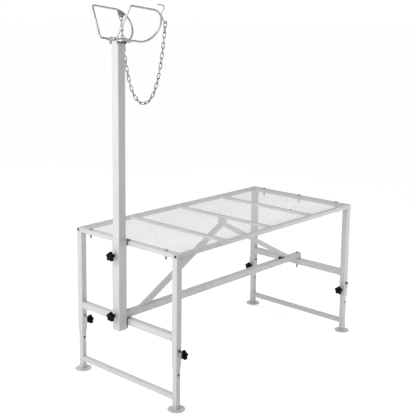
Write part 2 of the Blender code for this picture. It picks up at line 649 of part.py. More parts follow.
def in_world(local):
    return Vector(place(POST_X, 0, HEAD_Z)) + Matrix.Rotation(HEAD_PITCH, 3, "Y") @ local


def catenary(start, end, length, count, skip):
    """Evenly spaced points on a chain of the given length hung from start to end, its ends left off."""
    span_vector = Vector((end.x - start.x, end.y - start.y, 0))
    span, rise = span_vector.length, end.z - start.z
    low, high = 1e-3, 1.0
    target = math.sqrt(length * length - rise * rise)
    for _ in range(80):
        a = (low + high) / 2
        if 2 * a * math.sinh(span / (2 * a)) > target:
            low = a
        else:
            high = a
    shift = span / 2 - a * math.asinh(rise / (2 * a * math.sinh(span / (2 * a))))
    points = []
    for i in range(count):
        run = skip + (length - 2 * skip) * i / (count - 1)
        u = shift + a * math.asinh(run / a + math.sinh(-shift / a))
        z = start.z + a * (math.cosh((u - shift) / a) - math.cosh(shift / a))
        points.append(Vector((*(start + span_vector * (u / span)).xy, z)))
    return points


def build_chain():
    start = in_world(on_loop(1, *CHAIN_TAB_HOLE))
    end = in_world(on_loop(-1, *CHAIN_END, LOOP_ROD + HOOK_WIRE))
    points = catenary(start, end, CHAIN_LENGTH, CHAIN_POINTS, CHAIN_END_ROOM)
    curve = bpy.data.curves.new("head_chain", "CURVE")
    curve.dimensions = "3D"
    curve.bevel_depth = CHAIN_RADIUS
    curve.bevel_resolution = 2
    curve.use_fill_caps = True
    spline = curve.splines.new("POLY")
    spline.points.add(len(points) - 1)
    for vertex, point in zip(spline.points, points):
        vertex.co = (*point, 1.0)
    ob = bpy.data.objects.new("head_chain", curve)
    bpy.context.scene.collection.objects.link(ob)
    ob.data.materials.append(material("head_chain", ZINC, 0.3, 1.0))


def main():
    for ob in list(bpy.data.objects):
        bpy.data.objects.remove(ob, do_unlink=True)
    build_deck()
    build_upper_frames()
    build_lower_frames()
    build_stretcher()
    build_sleeve()
    build_bolts()
    build_knobs()
    build_pins()
    build_post()
    build_headpiece()
    build_chain()


main()
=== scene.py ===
"""Looks for the grooming and trimming stand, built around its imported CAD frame.

Metres, +Z up, in the frame's axes: +X from the head end to the tail end, the near side is -Y.
"""
import json
import math

import bmesh
import bpy
from mathutils import Matrix, Vector


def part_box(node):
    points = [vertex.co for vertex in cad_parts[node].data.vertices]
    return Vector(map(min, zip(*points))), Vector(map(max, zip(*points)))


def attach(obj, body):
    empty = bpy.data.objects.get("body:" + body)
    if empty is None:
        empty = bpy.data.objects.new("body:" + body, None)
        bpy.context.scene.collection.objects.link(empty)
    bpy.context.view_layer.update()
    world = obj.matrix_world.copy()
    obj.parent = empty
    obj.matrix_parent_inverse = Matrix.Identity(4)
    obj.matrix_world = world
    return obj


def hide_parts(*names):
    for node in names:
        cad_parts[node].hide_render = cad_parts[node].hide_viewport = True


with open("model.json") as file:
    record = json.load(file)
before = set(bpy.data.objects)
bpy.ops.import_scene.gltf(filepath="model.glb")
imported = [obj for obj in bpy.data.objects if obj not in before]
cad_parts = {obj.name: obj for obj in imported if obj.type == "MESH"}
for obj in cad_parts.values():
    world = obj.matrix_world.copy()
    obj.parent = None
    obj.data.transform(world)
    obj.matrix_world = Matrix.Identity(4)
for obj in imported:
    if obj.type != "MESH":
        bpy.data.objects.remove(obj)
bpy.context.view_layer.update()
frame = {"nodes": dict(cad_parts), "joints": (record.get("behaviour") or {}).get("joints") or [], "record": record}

STAND = "stand"
HEADPIECE = "headpiece_post"
CORNERS = {"head_near": (-1, -1), "head_far": (-1, 1), "tail_near": (1, -1), "tail_far": (1, 1)}
ENDS = {"head": -1, "tail": 1}


# ---------------------------------------------------------------- measures from the frame
def low(node):
    return Vector(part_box(node)[0])


def high(node):
    return Vector(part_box(node)[1])


def middle(node):
    return (low(node) + high(node)) / 2


DECK_X = middle("side_rail_near").x
DECK_TOP = high("side_rail_near").z
RAIL_BOTTOM = low("side_rail_near").z
LEG_SIZE = high("outer_leg_head_near").y - low("outer_leg_head_near").y
INNER_LEG_SIZE = high("inner_leg_head_near").y - low("inner_leg_head_near").y
TUBE_WALL = 0.002
PIN_Z = (low("leg_pin_head_near").z + high("leg_pin_head_near").z) / 2
HOLE_PITCH = 0.0508
PIN_HOLE_RADIUS = 0.0048

# The headpiece's own axes: pitched down towards the tail, over the post's axis.
HEAD_PITCH = math.radians(7.3)
LOOP_LEAN = math.radians(26.8)
LOOP_OFFSET = 0.0484
LOOP_ROD = 0.004
LOOP_FRONT = -0.0525
LOOP_REAR_CENTRE = 0.0690
LOOP_HEIGHT = 0.1420
LOOP_CORNER = 0.010
HEAD_Z = 1.4706
HEAD_ORIGIN = Vector((middle("head_post").x, 0, HEAD_Z))
HEAD_AXES = Matrix.Translation(HEAD_ORIGIN) @ Matrix.Rotation(HEAD_PITCH, 4, "Y")

# The chain's two ends are places on the loops' planes: along the deck, then up.
CHAIN_LENGTH = 0.752
CHAIN_TAB_HOLE = (0.092, 0.118)
CHAIN_END = (0.1505, 0.1030)
HOOK_WIRE = 0.0025
LINK_PITCH = 0.0209
LINK_WIRE = 0.00185
LINK_WIDTH = 0.0145

# Small parts that only this file draws.
BEAD = 0.0015
BEAD_STEP = 0.0011
BRACE_FOOT_LENGTH = 0.0426
BRACE_SCREW_X = 0.448
MEMBER_SCREW_Y = -0.165
FASTENER_SIDES = 24
HEAD_BOLT_X = 0.0085
HEAD_BOLT_Y = 0.033

# The main camera: its turn in degrees, its lens, and its place measured from the deck's middle.
CAMERA_HEADING = 41.627
CAMERA_DOWN = 9.535
CAMERA_ROLL = 0.798
CAMERA_LENS = 74.64
CAMERA_SHIFT = (-0.0230, -0.1405)
CAMERA_PLACE = (DECK_X - 2.9262, -2.5653, 1.6105)


# ---------------------------------------------------------------- materials
class Nodes:
    """A small helper for writing a material's node tree."""

    def __init__(self, name):
        self.material = bpy.data.materials.new(name)
        self.material.use_nodes = True
        self.tree = self.material.node_tree
        self.shader = self.tree.nodes["Principled BSDF"]
        self.coordinates = self.tree.nodes.new("ShaderNodeTexCoord").outputs["Object"]

    def add(self, kind):
        return self.tree.nodes.new(kind)

    def link(self, source, target):
        self.tree.links.new(source, target)

    def noise(self, scale, detail=3.0, stretch=(1, 1, 1)):
        mapping = self.add("ShaderNodeMapping")
        mapping.inputs["Scale"].default_value = stretch
        self.link(self.coordinates, mapping.inputs["Vector"])
        noise = self.add("ShaderNodeTexNoise")
        noise.inputs["Scale"].default_value = scale
        noise.inputs["Detail"].default_value = detail
        self.link(mapping.outputs["Vector"], noise.inputs["Vector"])
        return noise.outputs["Fac"]

    def ramp(self, source, stops):
        ramp = self.add("ShaderNodeValToRGB")
        elements = ramp.color_ramp.elements
        while len(elements) < len(stops):
            elements.new(0.5)
        for element, (position, colour) in zip(elements, stops):
            element.position = position
            element.color = (*colour, 1.0)
        self.link(source, ramp.inputs["Fac"])
        return ramp.outputs["Color"]

    def span(self, source, start, end):
        """Map 0..1 noise to a range of values."""
        span = self.add("ShaderNodeMapRange")
        span.inputs["From Min"].default_value = 0.3
        span.inputs["From Max"].default_value = 0.7
        span.inputs["To Min"].default_value = start
        span.inputs["To Max"].default_value = end
        self.link(source, span.inputs["Value"])
        return span.outputs["Result"]

    def bump(self, source, strength, distance, after=None):
        bump = self.add("ShaderNodeBump")
        bump.inputs["Strength"].default_value = strength
        bump.inputs["Distance"].default_value = distance
        self.link(source, bump.inputs["Height"])
        if after is not None:
            self.link(after, bump.inputs["Normal"])
        return bump.outputs["Normal"]

    def finish(self, colour, roughness, normal, metallic=0.0, specular_ior_level=0.5):
        for source, socket in ((colour, "Base Color"), (roughness, "Roughness"), (normal, "Normal")):
            self.link(source, self.shader.inputs[socket])
        self.shader.inputs["Metallic"].default_value = metallic
        self.shader.inputs["Specular IOR Level"].default_value = specular_ior_level
        return self.material


def grey(value, warmth=0.0):
    return (value * (1 + warmth), value, value * (1 - warmth))


def powder_coat(name, light, dark):
    """Satin powder coat: faint orange peel, slow changes of tone, a few dull patches from handling."""
    n = Nodes(name)
    tone = n.noise(7.0, 5.0)
    colour = n.ramp(tone, [(0.30, grey(dark)), (0.70, grey(light))])
    roughness = n.span(n.noise(23.0, 6.0), 0.36, 0.50)
    peel = n.bump(n.noise(950.0, 2.0), 0.10, 0.0004)
    ripple = n.bump(n.noise(160.0, 2.0), 0.06, 0.0006, peel)
    return n.finish(colour, roughness, ripple)


def zinc_plate(name, light, dark, low_rough, high_rough, scale=60.0):
    """Zinc-plated steel: cloudy bright and dull patches with fine scratches."""
    n = Nodes(name)
    colour = n.ramp(n.noise(scale, 6.0), [(0.32, grey(dark, -0.012)), (0.68, grey(light, 0.004))])
    roughness = n.span(n.noise(scale * 2.3, 5.0), low_rough, high_rough)
    scratches = n.bump(n.noise(420.0, 3.0, (1, 1, 0.12)), 0.12, 0.0003)
    return n.finish(colour, roughness, scratches, metallic=1.0)


def moulded_black(name, tone, low_rough, high_rough):
    """Black plastic or rubber with a fine moulded grain and a little dust in its tone."""
    n = Nodes(name)
    colour = n.ramp(n.noise(140.0, 5.0), [(0.35, grey(tone)), (0.75, grey(tone * 1.9))])
    roughness = n.span(n.noise(90.0, 4.0), low_rough, high_rough)
    grain = n.bump(n.noise(1500.0, 2.0), 0.25, 0.0003)
    return n.finish(colour, roughness, grain, specular_ior_level=0.06)


def bare_steel_painted_shade(name):
    """Near-black inside of a tube: bare dark steel, darkened further as painted shade of the closed tube's
    interior and its hole walls.
    """
    n = Nodes(name)
    colour = n.ramp(n.noise(55.0, 5.0), [(0.30, grey(0.004)), (0.70, grey(0.012, 0.05))])
    rough = n.span(n.noise(80.0), 0.6, 0.8)
    return n.finish(colour, rough, n.bump(n.noise(300.0), 0.2, 0.0003), specular_ior_level=0.1)


PAINT = powder_coat("silver_powder_coat", 0.46, 0.43)
# the deck's lighter coat; on the cross members under the deck it is painted light
DECK_COAT_AND_PAINTED_LIGHT = powder_coat("deck_mesh_coat", 0.62, 0.58)
WELD = powder_coat("painted_weld", 0.46, 0.40)
ZINC = zinc_plate("bright_zinc", 0.46, 0.30, 0.24, 0.42)
ROD_ZINC = zinc_plate("dull_zinc_rod", 0.46, 0.34, 0.36, 0.54, 35.0)
PIN_ZINC = zinc_plate("pin_zinc", 0.20, 0.05, 0.22, 0.40, 90.0)
CHAIN_ZINC = zinc_plate("chain_zinc", 0.34, 0.06, 0.16, 0.34, 150.0)
KNOB_BLACK = moulded_black("knob_plastic", 0.003, 0.38, 0.52)
PLUG_BLACK = moulded_black("plug_plastic", 0.006, 0.50, 0.66)
# dark grey on the sleeve's hooks: painted shade of the gaps between the sleeve and the rails
HOOK_GAP_SHADE = moulded_black("dipped_coating", 0.085, 0.55, 0.75)
NUT_BLACK = zinc_plate("black_oxide", 0.060, 0.035, 0.35, 0.55)
# near black inside the tubes and holes: painted shade
INSIDE_PAINTED_SHADE = bare_steel_painted_shade("tube_inside")


# ---------------------------------------------------------------- outlines
def circle(radius, sides):
    angles = [2 * math.pi / sides * i for i in range(sides)]
    return [(radius * math.cos(angle), radius * math.sin(angle)) for angle in angles]


def rounded_rectangle(width, height, radius, steps=5):
    outline = []
    for quarter, (sx, sy) in enumerate(((1, 1), (-1, 1), (-1, -1), (1, -1))):
        cx, cy = sx * (width / 2 - radius), sy * (height / 2 - radius)
        for i in range(steps + 1):
            angle = math.pi / 2 * (quarter + i / steps)
            outline.append((cx + radius * math.cos(angle), cy + radius * math.sin(angle)))
    return outline


def hexagon(flats, sides=24):
    outline = []
    for i in range(sides):
        angle = 2 * math.pi * i / sides
        from_flat = (angle + math.pi / 6) % (math.pi / 3) - math.pi / 6
        radius = flats / 2 / math.cos(from_flat)
        outline.append((radius * math.cos(angle), radius * math.sin(angle)))
    return outline


def arc(centre, radius, start, end, steps):
    angles = [math.radians(start + (end - start) * i / steps) for i in range(steps + 1)]
    return [(centre[0] + radius * math.cos(a), centre[1] + radius * math.sin(a)) for a in angles]


# ---------------------------------------------------------------- mesh tools
def along(axis, u, v, w):
    return {"X": (w, u, v), "Y": (u, w, v), "Z": (u, v, w)}[axis]


def loft(bm, sections, axis, closed=True):
    """Join equal outlines (w, outline) along an axis."""
    rings = [[bm.verts.new(along(axis, u, v, w)) for u, v in outline] for w, outline in sections]
    for lower, upper in zip(rings, rings[1:]):
        for i in range(len(lower)):
            j = (i + 1) % len(lower)
            bm.faces.new((lower[i], lower[j], upper[j], upper[i]))
    if closed:
        bm.faces.new(rings[0])
        bm.faces.new(rings[-1])
    return rings


def piece(name, bm, material, body, replaced=(), axes=None, sharp=35):
    bmesh.ops.recalc_face_normals(bm, faces=bm.faces)
    mesh = bpy.data.meshes.new(name)
    bm.to_mesh(mesh)
    bm.free()
    mesh.shade_smooth()
    mesh.set_sharp_from_angle(angle=math.radians(sharp))
    ob = bpy.data.objects.new(name, mesh)
    bpy.context.scene.collection.objects.link(ob)
    if axes is not None:
        ob.matrix_world = axes
    ob.data.materials.append(material)
    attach(ob, body)
    if replaced:
        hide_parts(*replaced)
    return ob


def sweep(bm, path, normal, radius, sides, closed=False, taper=None):
    """Sweep a round wire along a path lying in a plane with the given normal."""
    normal = Vector(normal).normalized()
    points = [Vector(p) for p in path]
    rings = []
    for i, point in enumerate(points):
        before = points[i - 1] if closed or i > 0 else point
        after = points[(i + 1) % len(points)] if closed or i + 1 < len(points) else point
        side = (after - before).normalized().cross(normal)
        r = radius if taper is None else radius * taper[i]
        rings.append([bm.verts.new(point + side * u + normal * v) for u, v in circle(r, sides)])
    pairs = list(zip(rings, rings[1:]))
    if closed:
        pairs.append((rings[-1], rings[0]))
    else:
        bm.faces.new(rings[0])
        bm.faces.new(rings[-1])
    for first, second in pairs:
        for k in range(sides):
            m = (k + 1) % sides
            bm.faces.new((first[k], first[m], second[m], second[k]))


def cut(ob, cutter_bm):
    """Cut a mesh given in the frame's axes out of a piece."""
    mesh = bpy.data.meshes.new("cutter")
    bmesh.ops.recalc_face_normals(cutter_bm, faces=cutter_bm.faces)
    cutter_bm.to_mesh(mesh)
    cutter_bm.free()
    for material in ob.data.materials:
        mesh.materials.append(material)
    cutter = bpy.data.objects.new("cutter", mesh)
    bpy.context.scene.collection.objects.link(cutter)
    modifier = ob.modifiers.new("cut", "BOOLEAN")
    modifier.operation = "DIFFERENCE"
    modifier.solver = "EXACT"
    modifier.object = cutter
    bpy.context.view_layer.update()
    depsgraph = bpy.context.evaluated_depsgraph_get()
    result = bpy.data.meshes.new_from_object(ob.evaluated_get(depsgraph))
    ob.modifiers.clear()
    old = ob.data
    ob.data = result
    bpy.data.meshes.remove(old)
    bpy.data.objects.remove(cutter)
    ob.data.shade_smooth()
    ob.data.set_sharp_from_angle(angle=math.radians(35))


def merged_copy(node):
    """The CAD node's shape as a bmesh, with its triangles joined into flat faces."""
    bm = bmesh.new()
    bm.from_mesh(frame["nodes"][node].data)
    bmesh.ops.remove_doubles(bm, verts=bm.verts, dist=1e-6)
    bmesh.ops.dissolve_limit(bm, angle_limit=math.radians(0.5), verts=bm.verts, edges=bm.edges)
    return bm


def soften(ob, width, segments=2):
    """Small rounded edges that catch the light."""
    bevel = ob.modifiers.new("edges", "BEVEL")
    bevel.width = width
    bevel.segments = segments
    bevel.limit_method = "ANGLE"
    bevel.angle_limit = math.radians(50)
    bevel.harden_normals = True
    normals = ob.modifiers.new("normals", "WEIGHTED_NORMAL")
    normals.keep_sharp = True


def refine(node, material, body, width=0.0006):
    """A copy of a CAD node with softened edges and smooth round corners."""
    ob = piece(f"{node}_finished", merged_copy(node), material, body, [node])
    soften(ob, width)
    return ob


def paint_frame_nodes():
    """Give every CAD node that stays its material."""
    paints = {"steel_paint": PAINT, "mesh_paint": DECK_COAT_AND_PAINTED_LIGHT, "hook_coating": HOOK_GAP_SHADE, "zinc_plate": ZINC,
              "zinc_rod": ROD_ZINC, "chain_zinc": CHAIN_ZINC, "knob_plastic": KNOB_BLACK}
    for part in frame["record"]["subparts"]:
        ob = frame["nodes"][part["node"]]
        ob.data.materials.clear()
        ob.data.materials.append(paints[part["material_slot"]])


# ---------------------------------------------------------------- deck mesh
def build_expanded_mesh():
    """Expanded metal: zigzag strands, joined to their neighbours by a short bond at each bend."""
    lo, hi = low("deck_mesh"), high("deck_mesh")
    long_pitch, short_pitch, strand, thickness, bond = 0.0240, 0.0100, 0.0013, 0.00078, 0.0040
    columns = round((hi.x - lo.x) / (long_pitch / 2))
    rows = round((hi.y - lo.y) / (short_pitch / 2))
    step_x, step_y = (hi.x - lo.x - bond) / columns, (hi.y - lo.y) / rows
    half = strand / 2
    lift = 0.0004
    bm = bmesh.new()
    for row in range(rows):
        y = lo.y + (row + 0.5) * step_y
        rings = []
        for column in range(columns + 1):
            turn_side = 1 if (row + column) % 2 else -1
            centre = y + turn_side * (step_y / 2 - half * 0.9)
            for x in (lo.x + column * step_x, lo.x + column * step_x + bond):
                bottom = lo.z + (lift if turn_side > 0 else 0.0)
                rings.append([bm.verts.new((x, centre + dy, bottom + dz))
                              for dy, dz in ((-half, 0), (half, 0), (half, thickness), (-half, thickness))])
        for first, second in zip(rings, rings[1:]):
            for k in range(4):
                m = (k + 1) % 4
                bm.faces.new((first[k], first[m], second[m], second[k]))
        bm.faces.new(rings[0])
        bm.faces.new(rings[-1])
    piece("expanded_metal_deck", bm, DECK_COAT_AND_PAINTED_LIGHT, STAND, ["deck_mesh"])


# ---------------------------------------------------------------- headpiece
def on_loop(side, along_deck, up, out=0.0):
    y = LOOP_OFFSET + up * math.sin(LOOP_LEAN) + out * math.cos(LOOP_LEAN)
    z = up * math.cos(LOOP_LEAN) - out * math.sin(LOOP_LEAN)
    return Vector((along_deck, side * y, z))


def loop_normal(side):
    return Vector((0, side * math.cos(LOOP_LEAN), -math.sin(LOOP_LEAN)))


def loop_outline():
    r, half = LOOP_CORNER, LOOP_HEIGHT / 2
    points = arc((LOOP_REAR_CENTRE, half), half, -90, 90, 40)
    points += arc((LOOP_FRONT + r, LOOP_HEIGHT - r), r, 90, 180, 8)
    points += arc((LOOP_FRONT + r, r), r, 180, 270, 8)
    return points


def build_loops():
    for name, side in (("left", 1), ("right", -1)):
        bm = bmesh.new()
        sweep(bm, [on_loop(side, s, t) for s, t in loop_outline()], loop_normal(side), LOOP_ROD, 20, True)
        piece(f"loop_rod_{name}", bm, ROD_ZINC, HEADPIECE, [f"nose_loop_{name}"], HEAD_AXES)
        bm = bmesh.new()
        tab = rounded_rectangle(0.036, LOOP_OFFSET - 0.004, 0.003)
        inset = rounded_rectangle(0.0350, LOOP_OFFSET - 0.005, 0.0026)
        half = 0.0035
        centre = side * (LOOP_OFFSET + 0.004) / 2
        profile = [(-half, inset), (-half + 0.0006, tab), (half - 0.0006, tab), (half, inset)]
        loft(bm, [(w, [(u, v + centre) for u, v in outline]) for w, outline in profile], "Z")
        piece(f"loop_tab_{name}", bm, ROD_ZINC, HEADPIECE, (), HEAD_AXES)


def build_head_plate():
    refine("head_plate", ROD_ZINC, HEADPIECE, 0.0012)
    refine("chain_tab", ROD_ZINC, HEADPIECE, 0.0006)


def build_chain_hook():
    route = [(0.067, 0.1690), (0.081, 0.1697), (0.095, 0.1692), (0.106, 0.1655), (0.1115, 0.1580),
             (0.1110, 0.1490), (0.1090, 0.1390), (0.1130, 0.1300), (0.1210, 0.1220), (0.1310, 0.1130),
             (0.1405, 0.1045), (0.1470, 0.0985), (0.1540, 0.0975), (0.1580, 0.1035)]
    out = LOOP_ROD + HOOK_WIRE + 0.0003
    path = smooth_path([on_loop(-1, s, t, out) for s, t in route], 5)
    taper = [0.55, 0.85] + [1.0] * (len(path) - 4) + [0.85, 0.55]
    bm = bmesh.new()
    sweep(bm, path, loop_normal(-1), HOOK_WIRE, 16, False, taper)
    piece("bent_wire_hook", bm, ROD_ZINC, HEADPIECE, ["chain_hook"], HEAD_AXES)


def smooth_path(points, steps):
    """Catmull-Rom points through a list of points."""
    padded = [points[0]] + list(points) + [points[-1]]
    path = []
    for a, b, c, d in zip(padded, padded[1:], padded[2:], padded[3:]):
        for i in range(steps):
            t = i / steps
            path.append(0.5 * (2 * b + (c - a) * t + (2 * a - 5 * b + 4 * c - d) * t ** 2
                               + (3 * b - a - 3 * c + d) * t ** 3))
    return path + [points[-1]]


# ---------------------------------------------------------------- chain
def catenary(start, end, length, count):
    """Evenly spaced points on a chain of the given length hung from start to end."""
    span_vector = Vector((end.x - start.x, end.y - start.y, 0))
    span, rise = span_vector.length, end.z - start.z
    low_a, high_a = 1e-3, 1.0
    target = math.sqrt(length * length - rise * rise)
    for _ in range(80):
        a = (low_a + high_a) / 2
        if 2 * a * math.sinh(span / (2 * a)) > target:
            low_a = a
        else:
            high_a = a
    shift = span / 2 - a * math.asinh(rise / (2 * a * math.sinh(span / (2 * a))))
    points = []
    for i in range(count):
        run = length * i / (count - 1)
        u = shift + a * math.asinh(run / a + math.sinh(-shift / a))
        z = start.z + a * (math.cosh((u - shift) / a) - math.cosh(shift / a))
        points.append(Vector((*(start + span_vector * (u / span)).xy, z)))
    return points


def build_chain():
    start = HEAD_AXES @ on_loop(1, *CHAIN_TAB_HOLE)
    end = HEAD_AXES @ on_loop(-1, *CHAIN_END, LOOP_ROD + HOOK_WIRE)
    links = round(CHAIN_LENGTH / LINK_PITCH)
    stations = catenary(start, end, CHAIN_LENGTH, 2 * links + 1)
    plane = (end - start).cross(Vector((0, 0, 1))).normalized()
    bm = bmesh.new()
    for i in range(links):
        centre = stations[2 * i + 1]
        forward = (stations[2 * i + 2] - stations[2 * i]).normalized()
        twist = math.radians(45 + (90 if i % 2 else 0) + 9 * math.sin(2.1 * i))
        across = Matrix.Rotation(twist, 3, forward) @ plane
        add_link(bm, centre, forward, across)
    chain = piece("chain_links", bm, CHAIN_ZINC, HEADPIECE, ["head_chain"], sharp=60)


def add_link(bm, centre, forward, across):
    """One welded link: two straight sides and two half-round ends."""
    half_width = LINK_WIDTH / 2 - LINK_WIRE
    straight = LINK_PITCH / 2 + LINK_WIRE - half_width
    outline = arc((straight, 0), half_width, -90, 90, 10) + arc((-straight, 0), half_width, 90, 270, 10)
    path = [centre + forward * u + across * v for u, v in outline]
    sweep(bm, path, forward.cross(across), LINK_WIRE, 10, True)


# ---------------------------------------------------------------- frame tubes and fasteners
def build_frame():
    slots = {part["node"]: part["material_slot"] for part in frame["record"]["subparts"]}
    bodies = frame["record"]["behaviour"]["bodies"]
    for body in (STAND, "lower_frame_head", "lower_frame_tail", HEADPIECE):
        for node in bodies[body]:
            if slots[node] == "steel_paint" and not node.startswith("inner_leg"):
                # the cross members take the deck's lighter coat: painted light that lifts their shaded tops to the
                # mesh's tone
                paint = DECK_COAT_AND_PAINTED_LIGHT if node.startswith("cross_member") else PAINT
                refine(node, paint, body, 0.0010 if node.startswith("foot") else 0.0006)
    # the hooks' dark grey stands in for the shadowed gaps behind the sleeve: painted shade
    for node in ("sleeve_hook_upper", "sleeve_hook_lower"):
        refine(node, HOOK_GAP_SHADE, STAND, 0.0010)


def build_inner_legs():
    """The sliding leg tubes with their row of height holes. Their inside walls and hole walls are near black:
    painted shade of the tube's inside.
    """
    for corner in CORNERS:
        node = f"inner_leg_{corner}"
        lo, hi = low(node), high(node)
        centre = (lo + hi) / 2
        bm = bmesh.new()
        outer = rounded_rectangle(INNER_LEG_SIZE, INNER_LEG_SIZE, 0.003)
        inner = rounded_rectangle(INNER_LEG_SIZE - 2 * TUBE_WALL, INNER_LEG_SIZE - 2 * TUBE_WALL, 0.0018)
        shifted = [[(x + centre.x, y + centre.y) for x, y in outline] for outline in (outer, inner)]
        walls = [loft(bm, [(lo.z, outline), (hi.z, outline)], "Z", closed=False) for outline in shifted]
        inside = set(walls[1][0])
        for face in bm.faces:
            face.material_index = 1 if inside & set(face.verts) else 0
        for k in (0, 1):
            for i in range(len(outer)):
                j = (i + 1) % len(outer)
                bm.faces.new((walls[0][k][i], walls[0][k][j], walls[1][k][j], walls[1][k][i]))
        body = f"lower_frame_{corner.split('_')[0]}"
        leg = piece(f"{node}_finished", bm, PAINT, body, [node])
        leg.data.materials.append(INSIDE_PAINTED_SHADE)
        holes = bmesh.new()
        for step in range(-2, 4):
            z = PIN_Z + step * HOLE_PITCH
            round_hole = [(x + centre.x, v + z) for x, v in circle(PIN_HOLE_RADIUS, 20)]
            loft(holes, [(centre.y - 0.03, round_hole), (centre.y + 0.03, round_hole)], "Y")
        # the hole walls take the near-black painted shade
        for face in holes.faces:
            face.material_index = 1
        cut(leg, holes)


def turn(profile, sides):
    """Sections of a turned part from (place along the axis, radius) pairs."""
    return [(w, circle(radius, sides)) for w, radius in profile]


def thread(start, end, radius, sides, pitch=0.00125):
    """Ridges of a screw thread from start to end."""
    turns = max(1, round(abs(end - start) / pitch))
    step = (end - start) / turns
    profile = []
    for i in range(turns):
        profile += [(start + step * (i + 0.15), radius), (start + step * (i + 0.6), radius * 0.86)]
    return turn(profile, sides)


def scaled(outline, factor):
    return [(x * factor, y * factor) for x, y in outline]


def flip(sections, direction):
    return [(direction * w, outline) for w, outline in sections]


def star(radius, valley, sides=100):
    outline = []
    for i in range(sides):
        angle = 2 * math.pi * i / sides
        lobe = 0.5 + 0.5 * math.cos(5 * (angle - math.pi / 2))
        r = radius - valley * (1 - lobe ** 0.8)
        outline.append((r * math.cos(angle), r * math.sin(angle)))
    return outline


def build_knobs():
    """Five-lobed star knobs: threaded stud, hub, crowned grip with a recessed centre cap."""
    sides = 100
    radius, valley, back, front = 0.0205, 0.0060, 0.0200, 0.0370
    for joint in frame["joints"]:
        if "knob" not in joint["name"]:
            continue
        place, direction = Vector(joint["pos_m"]), joint["axis"][0]
        node = frame["record"]["behaviour"]["bodies"][joint["child"]][0]
        at = Matrix.Translation(place)
        neck = [(0.0086, 0.0066), (0.0090, 0.0074), (0.0165, 0.0080), (0.0180, 0.0092), (back, 0.0100)]
        grip = turn(neck, sides)
        for w, shrink, depth in ((0.0, 0.0022, 0.9), (0.0006, 0.0010, 0.95), (0.0020, 0.0, 1.0),
                                 (0.0115, 0.0, 1.0), (0.0140, 0.0008, 1.0), (0.0158, 0.0026, 0.9),
                                 (0.0168, 0.0050, 0.75), (0.0170, 0.0070, 0.55)):
            grip.append((back + w, star(radius - shrink, valley * depth, sides)))
        dish = [(front, 0.0098), (front - 0.0004, 0.0093), (front - 0.0016, 0.0088),
                (front - 0.0016, 0.0074), (front - 0.0008, 0.0070), (front - 0.0004, 0.0050),
                (front - 0.0003, 0.0015)]
        grip += turn(dish, sides)
        bm = bmesh.new()
        loft(bm, flip(grip, direction), "X")
        piece(f"{node}_grip", bm, KNOB_BLACK, joint["child"], [node], at)
        bm = bmesh.new()
        stud = turn([(-0.0023, 0.0034)], FASTENER_SIDES)
        stud += thread(-0.0021, 0.0080, 0.0040, FASTENER_SIDES)
        stud += turn([(0.0100, 0.0040)], FASTENER_SIDES)
        loft(bm, flip(stud, direction), "X")
        piece(f"{node}_stud", bm, ZINC, joint["child"], (), at)


def build_pins():
    """Locking pins with a flat eye, each carrying a split ring."""
    sides = FASTENER_SIDES
    eye_length, eye_hole_at, eye_hole_radius, past_leg = 0.0108, 0.00655, 0.00235, 0.010
    for joint in frame["joints"]:
        if not joint["name"].startswith("pull_pin"):
            continue
        body = joint["child"]
        corner = body.replace("pin_", "")
        sy = CORNERS[corner][1]
        node = f"leg_pin_{corner}"
        lo, hi = low(node), high(node)
        centre = (lo + hi) / 2
        head = hi.y if sy > 0 else lo.y
        face = head - sy * eye_length
        at = Matrix.Translation((centre.x, face, centre.z))
        tip = -(LEG_SIZE + past_leg)
        eye = rounded_rectangle(0.0050, 0.0100, 0.0018, steps=5)
        shank = [(tip, 0.0012), (tip + 0.0006, 0.0022), (tip + 0.0022, 0.0038), (tip + 0.0030, 0.0040),
                 (0.0003, 0.0040)]
        collar = [(0.0003, 0.0060), (0.0007, 0.0065), (0.0019, 0.0065), (0.0023, 0.0060)]
        profile = turn(shank + collar, sides)
        profile += [(0.0023, eye), (0.0100, eye), (0.0107, scaled(eye, 0.82))]
        profile += [(eye_length, scaled(eye, 0.7))]
        bm = bmesh.new()
        loft(bm, flip(profile, sy), "Y")
        pin = piece(f"{node}_turned", bm, PIN_ZINC, body, [node], at)
        hole = bmesh.new()
        eye_y = face + sy * eye_hole_at
        round_hole = [(y + eye_y, z + centre.z) for y, z in circle(eye_hole_radius, 20)]
        loft(hole, [(centre.x - 0.01, round_hole), (centre.x + 0.01, round_hole)], "X")
        cut(pin, hole)
        build_split_ring(corner, Vector((centre.x, eye_y, centre.z)))


def build_split_ring(corner, top):
    turns, steps, radius, wire = 2.0, 44, 0.0112, 0.00062
    path = []
    for i in range(int(turns * steps) + 1):
        angle = 2 * math.pi * i / steps + 0.6
        shift = 2 * wire * (i / (turns * steps) - 0.5)
        path.append(Vector((radius * math.cos(angle), shift, radius * math.sin(angle) - radius + 0.0002)))
    bm = bmesh.new()
    sweep(bm, path, (0, 1, 0), wire, 10)
    piece(f"split_ring_{corner}", bm, PIN_ZINC, f"ring_{corner}", [f"pin_ring_{corner}"],
          Matrix.Translation(top))


def bolt_pieces(node, x, y, top, nut_top, tip):
    """A hex bolt with washers under its head and nut."""
    sides = FASTENER_SIDES
    head = hexagon(0.0130, sides)
    sections = turn([(tip, 0.0030), (tip + 0.0006, 0.0036)], sides)
    sections += thread(tip + 0.0008, nut_top - 0.0066, 0.0040, sides)
    sections += [(nut_top - 0.0066, scaled(circle(0.0065, sides), 0.93)), (nut_top - 0.0060, head)]
    sections += [(nut_top - 0.0014, head), (nut_top - 0.0012, scaled(circle(0.0065, sides), 0.96))]
    sections += turn([(nut_top - 0.0012, 0.0078), (nut_top, 0.0078), (nut_top, 0.0040), (top, 0.0040),
                      (top, 0.0078), (top + 0.0011, 0.0078), (top + 0.0013, 0.0064)], sides)
    sections += [(top + 0.0013, head), (top + 0.0044, head)]
    sections += [(top + 0.0050, scaled(circle(0.0065, sides), 0.90))]
    bm = bmesh.new()
    loft(bm, sections, "Z")
    piece(f"{node}_threaded", bm, ZINC, STAND, [node], Matrix.Translation((x, y, 0)))


